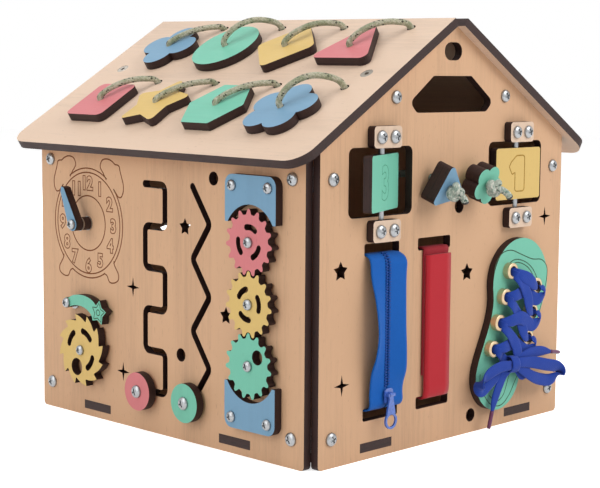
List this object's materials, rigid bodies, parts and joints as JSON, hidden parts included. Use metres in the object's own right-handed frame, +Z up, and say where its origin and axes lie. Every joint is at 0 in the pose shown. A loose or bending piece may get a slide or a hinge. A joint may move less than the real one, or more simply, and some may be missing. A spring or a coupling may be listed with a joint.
{
  "type": "wooden busy board",
  "caption": "House-shaped plywood busy board with turning, sliding, lacing and fastening toys on its walls and loose shapes on its roof.",
  "frame": {"origin": "on the ground under the middle of the house, where the lines through the middle of its gables and side walls cross", "axes": "+Z up, -Y out of the front gable with the shoe and the zip, -X out of the side wall with the clock and the gears"},
  "size_m": [0.3, 0.3202, 0.2859],
  "materials": {
    "wall_plywood": "satin",
    "roof_plywood": "satin",
    "teal_plywood": "satin",
    "yellow_plywood": "satin",
    "pink_plywood": "satin",
    "blue_plywood": "satin",
    "zinc_steel": "satin",
    "eyelet_brass": "polished",
    "blue_enamel": "gloss",
    "tether_cord": "matt braid",
    "bead_cord": "matt braid",
    "zip_tape": "woven",
    "zip_teeth": "moulded",
    "loop_fabric": "looped pile",
    "hook_fabric": "woven",
    "lace_fabric": "flat braid"
  },
  "bodies": {
    "house": {"front_gable": "wall_plywood", "back_gable": "wall_plywood", "left_wall": "wall_plywood", "right_wall": "wall_plywood", "floor_panel": "wall_plywood", "roof_left": "roof_plywood", "roof_right": "roof_plywood", "corner_brackets": "zinc_steel", "roof_brackets": "zinc_steel", "frame_screws": "zinc_steel", "roof_bolts": "zinc_steel", "nuts": "zinc_steel", "wood_screws": "zinc_steel", "clock_spacer": "wall_plywood", "pivot_screws": "zinc_steel", "pivot_washers": "zinc_steel", "gear_guards": "blue_plywood", "flip_pins": "zinc_steel", "pin_blocks": "roof_plywood", "zip_tape": "zip_tape", "zip_teeth": "zip_teeth", "loop_strap": "loop_fabric", "hook_strap": "hook_fabric", "shoe_plate": "teal_plywood", "eyelets": "eyelet_brass", "shoe_lace": "lace_fabric"},
    "clock_hand": {"clock_hand": "blue_plywood"},
    "ratchet_wheel": {"ratchet_wheel": "yellow_plywood"},
    "pawl": {"pawl": "teal_plywood"},
    "pink_gear": {"pink_gear": "pink_plywood"},
    "yellow_gear": {"yellow_gear": "yellow_plywood"},
    "teal_gear": {"teal_gear": "teal_plywood"},
    "square_maze_disc": {"square_maze_disc": "pink_plywood", "square_maze_screw": "zinc_steel"},
    "zigzag_maze_disc": {"zigzag_maze_disc": "teal_plywood", "zigzag_maze_screw": "zinc_steel"},
    "teal_flip_plate": {"teal_flip_plate": "teal_plywood"},
    "yellow_flip_plate": {"yellow_flip_plate": "yellow_plywood"},
    "triangle_bead": {"triangle_bead": "blue_plywood", "triangle_bead_cord": "bead_cord"},
    "flower_bead": {"flower_bead": "teal_plywood", "flower_bead_cord": "bead_cord"},
    "zip_slider": {"zip_slider": "blue_enamel"},
    "zip_pull": {"zip_pull": "blue_enamel"},
    "quatrefoil": {"quatrefoil": "blue_plywood", "quatrefoil_cord": "tether_cord"},
    "round_shape": {"round_shape": "teal_plywood", "round_cord": "tether_cord"},
    "turned_square": {"turned_square": "yellow_plywood", "turned_square_cord": "tether_cord"},
    "triangle_shape": {"triangle_shape": "pink_plywood", "triangle_cord": "tether_cord"},
    "square_shape": {"square_shape": "pink_plywood", "square_cord": "tether_cord"},
    "star_shape": {"star_shape": "yellow_plywood", "star_cord": "tether_cord"},
    "hexagon_shape": {"hexagon_shape": "teal_plywood", "hexagon_cord": "tether_cord"},
    "flower_shape": {"flower_shape": "blue_plywood", "flower_cord": "tether_cord"}
  },
  "joints": [
    {"name": "clock_hand_turn", "type": "hinge", "parent": "house", "child": "clock_hand", "pos_m": [-0.1418, 0.082, 0.139], "axis": [1, 0, 0], "continuous": true},
    {"name": "ratchet_turn", "type": "hinge", "parent": "house", "child": "ratchet_wheel", "pos_m": [-0.135, 0.0824, 0.0486], "axis": [1, 0, 0], "continuous": true},
    {"name": "pawl_lift", "type": "hinge", "parent": "house", "child": "pawl", "pos_m": [-0.135, 0.098, 0.081], "axis": [-1, 0, 0], "range_deg": [0, 60]},
    {"name": "yellow_gear_turn", "type": "hinge", "parent": "house", "child": "yellow_gear", "pos_m": [-0.135, -0.093, 0.1013], "axis": [1, 0, 0], "continuous": true},
    {"name": "pink_gear_turn", "type": "hinge", "parent": "house", "child": "pink_gear", "pos_m": [-0.135, -0.093, 0.1409], "axis": [1, 0, 0], "continuous": true},
    {"name": "teal_gear_turn", "type": "hinge", "parent": "house", "child": "teal_gear", "pos_m": [-0.135, -0.093, 0.0617], "axis": [1, 0, 0], "continuous": true},
    {"name": "square_maze_slide", "type": "slide", "parent": "house", "child": "square_maze_disc", "axis": [0, -1, 0], "range_m": [0, 0.0168]},
    {"name": "zigzag_maze_slide", "type": "slide", "parent": "house", "child": "zigzag_maze_disc", "axis": [0, -0.578, 0.816], "range_m": [0, 0.0265]},
    {"name": "teal_plate_turn", "type": "hinge", "parent": "house", "child": "teal_flip_plate", "pos_m": [-0.0697, -0.143, 0.1788], "axis": [0, 0, 1], "continuous": true},
    {"name": "yellow_plate_turn", "type": "hinge", "parent": "house", "child": "yellow_flip_plate", "pos_m": [0.0697, -0.143, 0.1788], "axis": [0, 0, 1], "continuous": true},
    {"name": "triangle_bead_pull", "type": "slide", "parent": "house", "child": "triangle_bead", "axis": [0, -1, 0], "range_m": [0, 0.04]},
    {"name": "flower_bead_pull", "type": "slide", "parent": "house", "child": "flower_bead", "axis": [0, -1, 0], "range_m": [0, 0.04]},
    {"name": "zip_slide", "type": "slide", "parent": "house", "child": "zip_slider", "axis": [0, 0, 1], "range_m": [0, 0.075]},
    {"name": "zip_pull_swing", "type": "hinge", "parent": "zip_slider", "child": "zip_pull", "pos_m": [-0.068, -0.15255, 0.042], "axis": [-1, 0, 0], "range_deg": [0, 175]},
    {"name": "quatrefoil_lift", "type": "slide", "parent": "house", "child": "quatrefoil", "axis": [-0.5299, 0, 0.848], "range_m": [0, 0.022]},
    {"name": "round_shape_lift", "type": "slide", "parent": "house", "child": "round_shape", "axis": [-0.5299, 0, 0.848], "range_m": [0, 0.022]},
    {"name": "turned_square_lift", "type": "slide", "parent": "house", "child": "turned_square", "axis": [-0.5299, 0, 0.848], "range_m": [0, 0.022]},
    {"name": "triangle_shape_lift", "type": "slide", "parent": "house", "child": "triangle_shape", "axis": [-0.5299, 0, 0.848], "range_m": [0, 0.022]},
    {"name": "square_shape_lift", "type": "slide", "parent": "house", "child": "square_shape", "axis": [-0.5299, 0, 0.848], "range_m": [0, 0.022]},
    {"name": "star_shape_lift", "type": "slide", "parent": "house", "child": "star_shape", "axis": [-0.5299, 0, 0.848], "range_m": [0, 0.022]},
    {"name": "hexagon_shape_lift", "type": "slide", "parent": "house", "child": "hexagon_shape", "axis": [-0.5299, 0, 0.848], "range_m": [0, 0.022]},
    {"name": "flower_shape_lift", "type": "slide", "parent": "house", "child": "flower_shape", "axis": [-0.5299, 0, 0.848], "range_m": [0, 0.022]}
  ],
  "couplings": [
    {"joint": "pink_gear_turn", "follows": "yellow_gear_turn", "ratio": -1},
    {"joint": "teal_gear_turn", "follows": "yellow_gear_turn", "ratio": -1}
  ]
}
